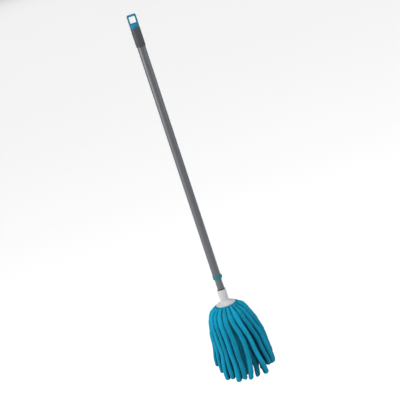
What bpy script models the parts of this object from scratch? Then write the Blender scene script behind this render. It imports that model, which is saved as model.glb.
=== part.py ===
"""A string mop: a telescopic steel handle with a hanging loop, and a push-on head of thick strands.

The mop stands upright along Z and faces -Y. The origin is the middle of the face that hangs on a hook,
the underside of the loop's top bar, so every other piece lies at a negative height.
"""

import math

import bmesh
import bpy
from mathutils import Vector

MM = 0.001
FIT = 0.3 * MM  # clearance between pieces that touch
ROUND_STEPS = 32  # sides of a turned piece

# Hanging loop, heights measured down from the hook face
LOOP_WIDTH = 25 * MM
LOOP_DEPTH = 9 * MM
LOOP_BAR = 5 * MM
WINDOW_WIDTH = 16 * MM
WINDOW_HEIGHT = 18.6 * MM
LOOP_CORNER = 3.2 * MM
LOOP_EDGE = 0.8 * MM  # rounding of the frame's long edges
LOOP_FOOT = -26 * MM  # how far the frame runs down into the plug
WINDOW_CORNER = 2 * MM
LOOP_PLUG_RADIUS = 12.4 * MM
LOOP_SPIGOT_LENGTH = 30 * MM

# Handle
GRIP_TOP = -31 * MM
GRIP_BOTTOM = -82.2 * MM
GRIP_RADIUS = 12.6 * MM
OUTER_TUBE_RADIUS = 11 * MM
INNER_TUBE_RADIUS = 9.5 * MM
TUBE_WALL = 0.6 * MM
OUTER_TUBE_BOTTOM = -739 * MM
INNER_TUBE_TOP = -116 * MM
INNER_TUBE_BOTTOM = -774.2 * MM
PLUG_SPIGOT_LENGTH = 30 * MM
PLUG_NOSE_LENGTH = 30 * MM
GUIDE_HEIGHT = 12 * MM

# Twist lock
COLLAR_TOP = -734.5 * MM
COLLAR_BOTTOM = -745.5 * MM
COLLAR_RADIUS = 12.1 * MM
COLLAR_LIP = 1.7 * MM
THUMB_LUG = (2.2 * MM, 5 * MM, 6 * MM)
COLLET_SLIT = 2 * MM

# Head
SOCKET_TOP = -776.8 * MM
HEAD_BASE = -819 * MM  # underside of the flange
SOCKET_RADIUS = 12.3 * MM
SOCKET_WAIST = 11.8 * MM
SOCKET_BORE = 9.2 * MM
SOCKET_FLOOR = 8 * MM  # height of the bore's floor above the flange's underside
FLANGE_RADIUS = 26.7 * MM
FLANGE_EDGE = 2.4 * MM
HUB_RADIUS = 9.5 * MM
HUB_LENGTH = 26.1 * MM
RIB_COUNT = 4
RIB_WIDTH = 5 * MM
RIB_ANGLE = -36
SLOT_COUNT = 3
SLOT_ANGLE = -20
SLOT_RADIUS = 23.6 * MM
BAND_HEIGHT = 8.5 * MM
BAND_RADII = {"outer_band": 27 * MM, "inner_band": 19.9 * MM, "core_band": 14.3 * MM}
PLATE_RADIUS = 13.4 * MM
PLATE_THICKNESS = 3.4 * MM
SCREW_COUNT = 4
SCREW_CIRCLE = 5.8 * MM
SCREW_ANGLE = 45
SCREW_SHANK = 1.5 * MM
SCREW_HEAD = 2.9 * MM
SCREW_LENGTH = 18 * MM
PILOT_DEPTH = 16 * MM

# Strands: radius from the axis and depth below the head's base, at the nominal drop
STRAND_RADIUS = 6.7 * MM
STRAND_ROOT_SHARE = 0.56  # a strand's width where it is sewn into its band
STRAND_TIP_SHARE = 0.72
STRAND_ROOT_END = 0.19  # the share of its length where a strand reaches its full width
STRAND_TIP_START = 0.95  # and where it starts to narrow again
STRAND_SHARES = (0, 0.03, 0.075, 0.13, 0.2, 0.3, 0.42, 0.56, 0.7, 0.84, 0.96, 1)  # where its points lie
NOMINAL_DROP = 195
SHOULDER_DEPTH = 30
TWIST_DEPTH = 100
OUTER_ROUTE = (
    (27.6, 4.6),
    (31, 4.7),
    (36.5, 7.2),
    (43.5, 11.8),
    (49.2, 20.5),
    (53.2, 32),
    (57.2, 47),
    (63.2, 76),
    (66.6, 100),
    (69.3, 126),
    (70.3, 150),
    (67.5, NOMINAL_DROP),
)
INNER_ROUTE = (
    (20.6, 13.4),
    (26, 13.6),
    (31.5, 18.8),
    (36.5, 30),
    (41.5, 47),
    (46.5, 70),
    (50, 95),
    (52.5, 122),
    (53, 150),
    (50.5, NOMINAL_DROP),
)
CORE_ROUTE = (
    (15.1, 22.2),
    (20, 22.4),
    (23.6, 31),
    (26, 43),
    (28.5, 58),
    (31.5, 80),
    (34, 105),
    (35.5, 130),
    (35, 155),
    (33, NOMINAL_DROP),
)
# Each strand: its direction at the band, half-way down and at its tip, in degrees from the front towards
# the right, then its drop and how far its tip swings out, in millimetres
OUTER_STRANDS = (
    (0, 9, -1, 202, 0),
    (17, 26, 41, 206, -1),
    (34, 43, 54, 188, 0),
    (51, 60, 69, 190, 2),
    (69, 78, 84, 194, 4),
    (86, 95, 99, 186, 3),
    (103, 112, 114, 197, 0),
    (120, 129, 131, 191, 2),
    (137, 146, 147, 199, -2),
    (154, 163, 163, 188, 1),
    (171, 180, 181, 196, 0),
    (189, 200, 202, 190, 3),
    (206, 217, 219, 198, -1),
    (223, 234, 235, 193, 0),
    (240, 251, 250, 186, 2),
    (257, 268, 266, 162, 8),
    (274, 285, 282, 176, 1),
    (291, 302, 300, 195, -1),
    (309, 316, 320, 190, 1),
    (326, 332, 333, 201, -1),
    (343, 345.5, 346, 199, 0),
)
INNER_STRANDS = (
    (-4, -3, -5, 192, 0),
    (20, 19, 24, 208, -1),
    (44, 43, 46, 196, 1),
    (68, 69, 66, 188, 0),
    (92, 90, 94, 198, -2),
    (116, 118, 114, 190, 1),
    (140, 139, 143, 202, 0),
    (164, 166, 161, 187, -1),
    (188, 186, 190, 195, 2),
    (212, 214, 210, 203, 0),
    (236, 234, 239, 189, -1),
    (260, 262, 257, 197, 0),
    (284, 282, 287, 186, 1),
    (308, 309, 306, 197, 0),
    (332, 330, 334, 200, -2),
)
CORE_STRANDS = (
    (40, 38, 45, 190, 0),
    (130, 128, 135, 198, 1),
    (222, 224, 218, 188, -1),
    (312, 310, 317, 195, 0),
)

LOOKS = {
    "loop_teal": ((0.003, 0.18, 0.29), 0.35, 0.0),
    "grip_grey": ((0.062, 0.065, 0.072), 0.5, 0.0),
    "tube_paint": ((0.16, 0.165, 0.18), 0.35, 0.3),
    "lock_teal": ((0.006, 0.2, 0.24), 0.4, 0.0),
    "dark_plastic": ((0.04, 0.043, 0.048), 0.5, 0.0),
    "socket_white": ((0.56, 0.57, 0.585), 0.4, 0.0),
    "screw_steel": ((0.55, 0.56, 0.58), 0.3, 1.0),
    "band_fabric": ((0.003, 0.22, 0.34), 0.9, 0.0),
    "strand_fabric": ((0.006, 0.3, 0.46), 0.95, 0.0),
}


def clear_scene():
    for obj in list(bpy.data.objects):
        bpy.data.objects.remove(obj, do_unlink=True)


def collection(name, hidden=False):
    made = bpy.data.collections.new(name)
    made.hide_render = hidden
    bpy.context.scene.collection.children.link(made)
    return made


def material(name):
    """The named look as a Principled BSDF, made once."""
    found = bpy.data.materials.get(name)
    if found:
        return found
    colour, roughness, metallic = LOOKS[name]
    made = bpy.data.materials.new(name)
    made.use_nodes = True
    shader = made.node_tree.nodes["Principled BSDF"]
    shader.inputs["Base Color"].default_value = (*colour, 1)
    shader.inputs["Roughness"].default_value = roughness
    shader.inputs["Metallic"].default_value = metallic
    made.diffuse_color = (*colour, 1)
    return made


def pivot(name, height, parent=None):
    """An empty on the mop's axis, which a moving group hangs from."""
    empty = bpy.data.objects.new(name, None)
    empty.empty_display_size = 0.02
    PARTS.objects.link(empty)
    empty["height"] = height
    empty.parent = parent
    empty.location.z = height - (parent["height"] if parent else 0)
    return empty


def piece(name, data, look, group, height=0.0):
    """A named sub-part in its material, hung from its group at a height of the whole mop's frame."""
    obj = bpy.data.objects.new(name, data)
    PARTS.objects.link(obj)
    data.materials.append(material(look))
    obj.parent = group
    obj.location.z = height - group["height"]
    return obj


def helper(name, data, group, height=0.0):
    """A shape that only cuts or joins another."""
    obj = bpy.data.objects.new(name, data)
    CUTTERS.objects.link(obj)
    obj.hide_render = True
    obj.display_type = "WIRE"
    obj.parent = group
    obj.location.z = height - group["height"]
    return obj


def profile_mesh(name, profile):
    """The edges of a profile in the XZ plane, closed into a loop unless it starts on the axis."""
    builder = bmesh.new()
    corners = [builder.verts.new((radius, 0, height)) for radius, height in profile]
    for start, end in zip(corners, corners[1:]):
        builder.edges.new((start, end))
    if profile[0][0] > 0:
        builder.edges.new((corners[-1], corners[0]))
    mesh = bpy.data.meshes.new(name)
    builder.to_mesh(mesh)
    builder.free()
    return mesh


def spin(obj, steps=ROUND_STEPS):
    """Turns an object's profile about Z. The profile runs down its outer side."""
    screw = obj.modifiers.new("Turn", "SCREW")
    screw.steps = steps
    screw.render_steps = steps
    screw.use_merge_vertices = True
    screw.merge_threshold = 0.00001
    return obj


def combine(obj, other, operation):
    boolean = obj.modifiers.new(other.name, "BOOLEAN")
    boolean.operation = operation
    boolean.object = other


def block_mesh(name, size, centre, rounding=0.0):
    """A box with rounded edges."""
    builder = bmesh.new()
    bmesh.ops.create_cube(builder, size=1)
    bmesh.ops.scale(builder, vec=size, verts=builder.verts)
    bmesh.ops.translate(builder, vec=centre, verts=builder.verts)
    if rounding:
        edges = builder.edges[:]
        bmesh.ops.bevel(builder, geom=edges, offset=rounding, segments=2, profile=0.5, affect="EDGES")
    mesh = bpy.data.meshes.new(name)
    builder.to_mesh(mesh)
    builder.free()
    return mesh


def ring_profile(outer, bore, top, bottom, chamfer=0.3 * MM):
    return (
        (outer - chamfer, top),
        (outer, top - chamfer),
        (outer, bottom + chamfer),
        (outer - chamfer, bottom),
        (bore, bottom),
        (bore, top),
    )


def rounded_rectangle(half_width, low, high, radius, arc_steps=5):
    """The outline's points, anticlockwise, each corner an arc."""
    points = []
    corners = (
        (half_width - radius, low + radius, -90),
        (half_width - radius, high - radius, 0),
        (radius - half_width, high - radius, 90),
        (radius - half_width, low + radius, 180),
    )
    for x, z, start in corners:
        for step in range(arc_steps + 1):
            angle = math.radians(start + 90 * step / arc_steps)
            points.append((x + radius * math.cos(angle), z + radius * math.sin(angle)))
    return points


def loop_frame():
    """The flat frame of the hanging loop as a mesh, standing in the XZ plane."""
    outline = bpy.data.curves.new("loop_outline", "CURVE")
    outline.dimensions = "2D"
    outline.fill_mode = "BOTH"
    outline.extrude = LOOP_DEPTH / 2 - LOOP_EDGE
    outline.bevel_depth = LOOP_EDGE
    outline.bevel_resolution = 1
    inset = LOOP_EDGE
    outer = rounded_rectangle(LOOP_WIDTH / 2 - inset, LOOP_FOOT, LOOP_BAR - inset, LOOP_CORNER)
    window = rounded_rectangle(WINDOW_WIDTH / 2 + inset, -WINDOW_HEIGHT - inset, inset, WINDOW_CORNER + inset)
    for points in (outer, window):
        spline = outline.splines.new("POLY")
        spline.points.add(len(points) - 1)
        spline.use_cyclic_u = True
        for point, (x, z) in zip(spline.points, points):
            point.co = (x, z, 0, 1)
    flat = bpy.data.objects.new("loop_outline", outline)
    CUTTERS.objects.link(flat)
    flat.rotation_euler.x = math.radians(90)
    bpy.context.view_layer.update()
    mesh = bpy.data.meshes.new_from_object(flat.evaluated_get(bpy.context.evaluated_depsgraph_get()))
    mesh.transform(flat.matrix_world)
    bpy.data.objects.remove(flat, do_unlink=True)
    builder = bmesh.new()
    builder.from_mesh(mesh)
    bmesh.ops.remove_doubles(builder, verts=builder.verts, dist=0.00001)
    bmesh.ops.recalc_face_normals(builder, faces=builder.faces)
    builder.to_mesh(mesh)
    builder.free()
    return mesh


def build_hanging_loop(group):
    """The loop with its round plug and the spigot that is pressed into the tube."""
    loop = piece("hanging_loop", loop_frame(), "loop_teal", group)
    shoulder = -WINDOW_HEIGHT - 0.6 * MM
    spigot = OUTER_TUBE_RADIUS - TUBE_WALL - FIT
    profile = (
        (0, shoulder),
        (8.5 * MM, shoulder),
        (11.2 * MM, shoulder - 1.6 * MM),
        (LOOP_PLUG_RADIUS, shoulder - 4.6 * MM),
        (LOOP_PLUG_RADIUS, GRIP_TOP + 0.4 * MM),
        (LOOP_PLUG_RADIUS - 0.4 * MM, GRIP_TOP),
        (spigot, GRIP_TOP),
        (spigot, GRIP_TOP - LOOP_SPIGOT_LENGTH + 2 * MM),
        (spigot - 2 * MM, GRIP_TOP - LOOP_SPIGOT_LENGTH),
        (0, GRIP_TOP - LOOP_SPIGOT_LENGTH),
    )
    plug = spin(helper("loop_plug", profile_mesh("loop_plug", profile), group))
    combine(loop, plug, "UNION")


def build_handle(group):
    """The grip sleeve over the top of the outer tube."""
    top = GRIP_TOP - FIT
    profile = ring_profile(GRIP_RADIUS, OUTER_TUBE_RADIUS + FIT, top, GRIP_BOTTOM, 0.8 * MM)
    spin(piece("end_grip", profile_mesh("end_grip", profile), "grip_grey", group))
    bore = OUTER_TUBE_RADIUS - TUBE_WALL
    profile = ring_profile(OUTER_TUBE_RADIUS, bore, top, OUTER_TUBE_BOTTOM, 0.1 * MM)
    spin(piece("outer_tube", profile_mesh("outer_tube", profile), "tube_paint", group))
    chamber = OUTER_TUBE_BOTTOM - FIT
    floor = COLLAR_BOTTOM + COLLAR_LIP + FIT
    profile = ring_profile(OUTER_TUBE_RADIUS, INNER_TUBE_RADIUS + FIT, chamber, floor)
    collet = spin(piece("collet_ring", profile_mesh("collet_ring", profile), "dark_plastic", group))
    size = (4 * MM, COLLET_SLIT, chamber - floor + 4 * MM)
    centre = (-OUTER_TUBE_RADIUS, 0, (chamber + floor) / 2)
    slit = helper("collet_slit", block_mesh("collet_slit", size, centre), group)
    combine(collet, slit, "DIFFERENCE")


def build_lock_collar(group):
    """The twist collar, a thin cap round the tube's end and its collet, with a lug for the thumb."""
    wall = OUTER_TUBE_RADIUS + FIT
    profile = (
        (COLLAR_RADIUS - 0.3 * MM, COLLAR_TOP),
        (COLLAR_RADIUS, COLLAR_TOP - 0.3 * MM),
        (COLLAR_RADIUS, COLLAR_BOTTOM + 0.5 * MM),
        (COLLAR_RADIUS - 0.5 * MM, COLLAR_BOTTOM),
        (INNER_TUBE_RADIUS + FIT, COLLAR_BOTTOM),
        (INNER_TUBE_RADIUS + FIT, COLLAR_BOTTOM + COLLAR_LIP),
        (wall, COLLAR_BOTTOM + COLLAR_LIP),
        (wall, COLLAR_TOP),
    )
    profile = tuple((radius, height - group["height"]) for radius, height in profile)
    mesh = profile_mesh("lock_collar", profile)
    collar = spin(piece("lock_collar", mesh, "lock_teal", group, group["height"]))
    depth, width, tall = THUMB_LUG
    centre = (COLLAR_RADIUS - 0.6 * MM + depth / 2, 0, (COLLAR_TOP + COLLAR_BOTTOM) / 2 - group["height"])
    lug = block_mesh("thumb_lug", (depth, width, tall), centre, 0.9 * MM)
    combine(collar, helper("thumb_lug", lug, group, group["height"]), "UNION")


def build_inner_tube(group):
    """The sliding tube, the guide plug in its top and the end plug that carries the head."""
    bore = INNER_TUBE_RADIUS - TUBE_WALL
    top = INNER_TUBE_TOP - FIT
    profile = ring_profile(INNER_TUBE_RADIUS, bore, top, INNER_TUBE_BOTTOM + FIT, 0.1 * MM)
    spin(piece("inner_tube", profile_mesh("inner_tube", profile), "tube_paint", group))
    spigot = bore - FIT
    guide = OUTER_TUBE_RADIUS - TUBE_WALL - FIT
    profile = (
        (0, INNER_TUBE_TOP + GUIDE_HEIGHT),
        (guide - 1 * MM, INNER_TUBE_TOP + GUIDE_HEIGHT),
        (guide, INNER_TUBE_TOP + GUIDE_HEIGHT - 1 * MM),
        (guide, INNER_TUBE_TOP),
        (spigot, INNER_TUBE_TOP),
        (spigot, INNER_TUBE_TOP - PLUG_SPIGOT_LENGTH + 1 * MM),
        (spigot - 1 * MM, INNER_TUBE_TOP - PLUG_SPIGOT_LENGTH),
        (0, INNER_TUBE_TOP - PLUG_SPIGOT_LENGTH),
    )
    spin(piece("guide_plug", profile_mesh("guide_plug", profile), "dark_plastic", group))
    collar = INNER_TUBE_RADIUS + 0.6 * MM
    nose = SOCKET_BORE - FIT
    profile = (
        (0, INNER_TUBE_BOTTOM + PLUG_SPIGOT_LENGTH),
        (spigot - 1 * MM, INNER_TUBE_BOTTOM + PLUG_SPIGOT_LENGTH),
        (spigot, INNER_TUBE_BOTTOM + PLUG_SPIGOT_LENGTH - 1 * MM),
        (spigot, INNER_TUBE_BOTTOM),
        (collar - 0.3 * MM, INNER_TUBE_BOTTOM),
        (collar, INNER_TUBE_BOTTOM - 0.3 * MM),
        (collar, SOCKET_TOP + FIT),
        (nose, SOCKET_TOP + FIT),
        (nose, SOCKET_TOP - PLUG_NOSE_LENGTH + 3 * MM),
        (nose - 1.5 * MM, SOCKET_TOP - PLUG_NOSE_LENGTH),
        (0, SOCKET_TOP - PLUG_NOSE_LENGTH),
    )
    spin(piece("end_plug", profile_mesh("end_plug", profile), "dark_plastic", group))


def around(radius, degrees):
    """A point on a circle about the axis, its angle counted from the front towards the right."""
    angle = math.radians(degrees)
    return Vector((radius * math.sin(angle), -radius * math.cos(angle), 0))


def build_head_socket(group):
    """The white moulding: socket, ribs, sloping flange with its windows, and the hub the bands sit on."""
    tall = SOCKET_TOP - HEAD_BASE
    profile = (
        (SOCKET_RADIUS - 0.5 * MM, tall),
        (SOCKET_RADIUS, tall - 0.5 * MM),
        (SOCKET_RADIUS, 23.5 * MM),
        (SOCKET_WAIST, 22.4 * MM),
        (SOCKET_WAIST, 12 * MM),
        (12.2 * MM, 9.9 * MM),
        (14.5 * MM, 8.3 * MM),
        (24.5 * MM, 4.2 * MM),
        (FLANGE_RADIUS - 0.6 * MM, 3 * MM),
        (FLANGE_RADIUS, FLANGE_EDGE),
        (FLANGE_RADIUS, 0),
        (HUB_RADIUS, 0),
        (HUB_RADIUS, -HUB_LENGTH),
        (0, -HUB_LENGTH),
        (0, SOCKET_FLOOR),
        (SOCKET_BORE, SOCKET_FLOOR),
        (SOCKET_BORE, tall),
    )
    start = profile.index((0, SOCKET_FLOOR))
    ordered = profile[start:] + profile[:start]
    mesh = profile_mesh("head_socket", ordered)
    socket = spin(piece("head_socket", mesh, "socket_white", group, HEAD_BASE))
    for index in range(RIB_COUNT):
        angle = RIB_ANGLE + index * 360 / RIB_COUNT
        rib = helper(f"rib_{index + 1}", rib_mesh(angle), group, HEAD_BASE)
        combine(socket, rib, "UNION")
    for index in range(SLOT_COUNT):
        angle = SLOT_ANGLE + index * 360 / SLOT_COUNT
        combine(socket, window_cutter(index, angle, group), "DIFFERENCE")
    for index in range(SCREW_COUNT):
        name = f"pilot_hole_{index + 1}"
        hole = rod_mesh(name, SCREW_SHANK + FIT, -HUB_LENGTH - 1 * MM, PILOT_DEPTH - HUB_LENGTH)
        combine(socket, screw_helper(name, hole, index, group), "DIFFERENCE")


def rib_mesh(angle):
    """A rib on the socket's waist that runs down onto the flange."""
    builder = bmesh.new()
    bmesh.ops.create_cube(builder, size=1)
    bmesh.ops.scale(builder, vec=(RIB_WIDTH, 3 * MM, 19 * MM), verts=builder.verts)
    bmesh.ops.translate(builder, vec=(0, 1.2 * MM - SOCKET_RADIUS, 15.2 * MM), verts=builder.verts)
    foot = [vert for vert in builder.verts if vert.co.z < 10 * MM and vert.co.y < -SOCKET_RADIUS]
    bmesh.ops.translate(builder, vec=(0, -1.2 * MM, 0), verts=foot)
    uprights = [edge for edge in builder.edges if all(vert.co.y < -SOCKET_RADIUS for vert in edge.verts)]
    bmesh.ops.bevel(builder, geom=uprights, offset=0.7 * MM, segments=2, profile=0.5, affect="EDGES")
    mesh = bpy.data.meshes.new("rib")
    builder.to_mesh(mesh)
    builder.free()
    turn_mesh(mesh, angle)
    return mesh


def turn_mesh(mesh, degrees):
    """Turns a mesh that was made at the front about the axis, towards the right."""
    angle = math.radians(degrees)
    for vert in mesh.vertices:
        x, y = vert.co.x, vert.co.y
        vert.co.x = x * math.cos(angle) - y * math.sin(angle)
        vert.co.y = x * math.sin(angle) + y * math.cos(angle)


def window_cutter(index, angle, group):
    """A small window through the flange, near its rim."""
    size = (4.4 * MM, 1.8 * MM, 8 * MM)
    mesh = block_mesh("flange_window", size, (0, -SLOT_RADIUS, 3 * MM))
    turn_mesh(mesh, angle)
    return helper(f"flange_window_{index + 1}", mesh, group, HEAD_BASE)


def rod_mesh(name, radius, low, high):
    builder = bmesh.new()
    depth = high - low
    bmesh.ops.create_cone(builder, cap_ends=True, segments=16, radius1=radius, radius2=radius, depth=depth)
    bmesh.ops.translate(builder, vec=(0, 0, (high + low) / 2), verts=builder.verts)
    mesh = bpy.data.meshes.new(name)
    builder.to_mesh(mesh)
    builder.free()
    return mesh


def screw_place(index):
    return around(SCREW_CIRCLE, SCREW_ANGLE + index * 360 / SCREW_COUNT)


def screw_helper(name, mesh, index, group):
    obj = helper(name, mesh, group, HEAD_BASE)
    obj.location.xy = screw_place(index).xy
    return obj


def build_bands(group):
    """The fabric rings that the strands are sewn into, stacked on the hub, the widest at the top."""
    top = -FIT
    for name, radius in BAND_RADII.items():
        profile = ring_profile(radius, HUB_RADIUS + FIT, top, top - BAND_HEIGHT, 0.8 * MM)
        spin(piece(name, profile_mesh(name, profile), "band_fabric", group, HEAD_BASE))
        top -= BAND_HEIGHT + FIT


def build_clamp_plate(group):
    """The plate under the bands and the screws that pull it up against them."""
    top = -FIT - len(BAND_RADII) * (BAND_HEIGHT + FIT)
    bottom = top - PLATE_THICKNESS
    profile = (
        (0, top),
        (PLATE_RADIUS - 0.5 * MM, top),
        (PLATE_RADIUS, top - 0.5 * MM),
        (PLATE_RADIUS - 2 * MM, bottom),
        (0, bottom),
    )
    plate = spin(piece("clamp_plate", profile_mesh("clamp_plate", profile), "socket_white", group, HEAD_BASE))
    head = (
        (0, bottom + SCREW_LENGTH - 0.8 * MM),
        (0.5 * MM, bottom + SCREW_LENGTH - 0.8 * MM),
        (SCREW_SHANK, bottom + SCREW_LENGTH - 3 * MM),
        (SCREW_SHANK, bottom - FIT),
        (SCREW_HEAD, bottom - FIT),
        (SCREW_HEAD, bottom - FIT - 1.2 * MM),
        (SCREW_HEAD - 0.7 * MM, bottom - FIT - 2 * MM),
        (0, bottom - FIT - 2.2 * MM),
    )
    mesh = profile_mesh("plate_screw", head)
    for index in range(SCREW_COUNT):
        hole = rod_mesh(f"plate_hole_{index + 1}", SCREW_SHANK + FIT, bottom - 1 * MM, top + 1 * MM)
        combine(plate, screw_helper(f"plate_hole_{index + 1}", hole, index, group), "DIFFERENCE")
        screw = spin(piece(f"plate_screw_{index + 1}", mesh, "screw_steel", group, HEAD_BASE), 16)
        screw.location.xy = screw_place(index).xy


def smooth_step(share):
    share = min(max(share, 0), 1)
    return share * share * (3 - 2 * share)


def strand_knots(route, strand):
    """The points that a strand's curve passes through, in the head's frame."""
    root, middle, tip, drop, swing = strand
    knots = []
    for radius, depth in route:
        low = max(depth - TWIST_DEPTH, 0) / (NOMINAL_DROP - TWIST_DEPTH)
        angle = root + (middle - root) * smooth_step(depth / TWIST_DEPTH) + (tip - middle) * low * low
        stretched = max(depth - SHOULDER_DEPTH, 0) * (drop - SHOULDER_DEPTH) / (NOMINAL_DROP - SHOULDER_DEPTH)
        point = around((radius + swing * low * low) * MM, angle)
        point.z = -(min(depth, SHOULDER_DEPTH) + stretched) * MM
        knots.append(point)
    return knots


def smooth_curve(knots, steps=12):
    """A Catmull-Rom curve through the knots."""
    ends = [2 * knots[0] - knots[1], *knots, 2 * knots[-1] - knots[-2]]
    points = []
    for before, start, end, after in zip(ends, ends[1:], ends[2:], ends[3:]):
        for step in range(steps):
            t = step / steps
            bend = 2 * before - 5 * start + 4 * end - after
            twist = 3 * start - before - 3 * end + after
            points.append(start + 0.5 * t * (end - before + t * (bend + t * twist)))
    return [*points, knots[-1]]


def along(points, distance):
    """The point at a distance along a polyline."""
    for start, end in zip(points, points[1:]):
        span = (end - start).length
        if distance <= span:
            return start.lerp(end, distance / span)
        distance -= span
    return points[-1].copy()


def strand_width(share):
    """A strand's width against its full width, at a share of its length: pinched where it is sewn in."""
    if share > STRAND_TIP_START:
        return 1 - (1 - STRAND_TIP_SHARE) * (share - STRAND_TIP_START) / (1 - STRAND_TIP_START)
    return STRAND_ROOT_SHARE + (1 - STRAND_ROOT_SHARE) * smooth_step(share / STRAND_ROOT_END)


def build_strand(name, route, strand, group):
    """One strand as a tube, its points closer together round the shoulder than down its hang."""
    curve = smooth_curve(strand_knots(route, strand))
    length = sum((end - start).length for start, end in zip(curve, curve[1:]))
    data = bpy.data.curves.new(name, "CURVE")
    data.dimensions = "3D"
    data.bevel_depth = STRAND_RADIUS
    data.bevel_resolution = 2
    data.use_fill_caps = True
    spline = data.splines.new("POLY")
    spline.points.add(len(STRAND_SHARES) - 1)
    for point, share in zip(spline.points, STRAND_SHARES):
        point.co = (*along(curve, share * length), 1)
        point.radius = strand_width(share)
    piece(name, data, "strand_fabric", group, HEAD_BASE)


def build_strands(group):
    layers = (
        ("outer", OUTER_ROUTE, OUTER_STRANDS),
        ("inner", INNER_ROUTE, INNER_STRANDS),
        ("core", CORE_ROUTE, CORE_STRANDS),
    )
    for layer, route, strands in layers:
        for index, strand in enumerate(strands):
            build_strand(f"{layer}_strand_{index + 1:02d}", route, strand, group)


def shade_smooth():
    for obj in PARTS.objects:
        if obj.type == "MESH":
            obj.data.shade_smooth()
            obj.data.set_sharp_from_angle(angle=math.radians(35))


clear_scene()
PARTS = collection("string_mop")
CUTTERS = collection("cutters", hidden=True)
handle_group = pivot("handle_frame", 0)
lock_group = pivot("lock_axis", COLLAR_BOTTOM, handle_group)
slide_group = pivot("telescope_axis", INNER_TUBE_BOTTOM, handle_group)
head_group = pivot("head_axis", SOCKET_TOP, slide_group)
build_hanging_loop(handle_group)
build_handle(handle_group)
build_lock_collar(lock_group)
build_inner_tube(slide_group)
build_head_socket(head_group)
build_bands(head_group)
build_clamp_plate(head_group)
build_strands(head_group)
shade_smooth()
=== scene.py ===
"""Fine shapes and finishes for a string mop with a telescopic handle.

The handle stands along Z and faces -Y. Every size is in metres. Pieces that are turned, moulded or sewn are
built here round the frame, and each rides on the body that carries it.
"""

import math

import bmesh
import bpy
from mathutils import Matrix, Vector, noise


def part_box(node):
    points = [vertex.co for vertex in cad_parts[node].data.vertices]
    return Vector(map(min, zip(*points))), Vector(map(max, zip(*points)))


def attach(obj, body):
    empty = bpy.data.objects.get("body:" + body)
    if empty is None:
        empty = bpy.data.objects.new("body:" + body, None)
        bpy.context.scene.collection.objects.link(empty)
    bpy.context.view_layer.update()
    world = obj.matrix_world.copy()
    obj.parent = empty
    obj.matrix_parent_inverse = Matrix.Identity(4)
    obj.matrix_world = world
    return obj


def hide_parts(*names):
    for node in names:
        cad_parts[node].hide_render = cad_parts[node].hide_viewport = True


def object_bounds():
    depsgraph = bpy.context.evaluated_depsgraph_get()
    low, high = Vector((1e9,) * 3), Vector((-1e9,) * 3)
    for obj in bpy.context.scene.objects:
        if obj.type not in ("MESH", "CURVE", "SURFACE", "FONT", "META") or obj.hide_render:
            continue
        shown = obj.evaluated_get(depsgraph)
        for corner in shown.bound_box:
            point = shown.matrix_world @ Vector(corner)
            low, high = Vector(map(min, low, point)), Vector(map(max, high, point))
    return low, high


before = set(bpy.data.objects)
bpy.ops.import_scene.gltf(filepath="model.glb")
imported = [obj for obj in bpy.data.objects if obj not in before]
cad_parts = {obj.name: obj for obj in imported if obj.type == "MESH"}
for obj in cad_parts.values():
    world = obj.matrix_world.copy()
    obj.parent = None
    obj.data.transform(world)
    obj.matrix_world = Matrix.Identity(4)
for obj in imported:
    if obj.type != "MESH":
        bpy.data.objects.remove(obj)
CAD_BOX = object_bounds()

bl_info = {
    "name": "String Mop",
    "version": (1, 0, 0),
    "blender": (4, 5, 0),
    "location": "View3D > Sidebar > Mop",
    "description": "Builds the pieces, finishes and studio of a string mop round its frame",
    "category": "Add Mesh",
}

MM = 0.001
GAP = 0.3 * MM  # between two pieces that meet
FILM = 36.0  # the camera's sensor, in millimetres
PLASTIC_GRAIN = 0.00004
GRIP_GRAIN = 0.00008
ARC_STEPS = 10  # points on a rounded corner of the loop
GRIP_RADIUS = 0.0126
GRIP_BORE = 0.0113
OUTER_TUBE = (0.011, 0.0104)  # a tube's radius and bore
INNER_TUBE = (0.0095, 0.0089)
TUBE_EDGE = 0.00015  # rounding of a tube's cut rims
SOCKET_RADIUS = 0.0123
HUB_RADIUS = 0.0095
BAND_BORE = 0.0098

LOOP_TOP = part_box("hanging_loop")[1].z
HEAD_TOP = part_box("head_socket")[1].z
HEAD_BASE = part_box("outer_band")[1].z + GAP  # the underside of the flange
LOWEST = CAD_BOX[0][2]

# A strand's route: distance from the axis and depth below the flange, at the usual drop
USUAL_DROP = 0.195
SHOULDER_DEPTH = 0.030
TWIST_DEPTH = 0.100
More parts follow.
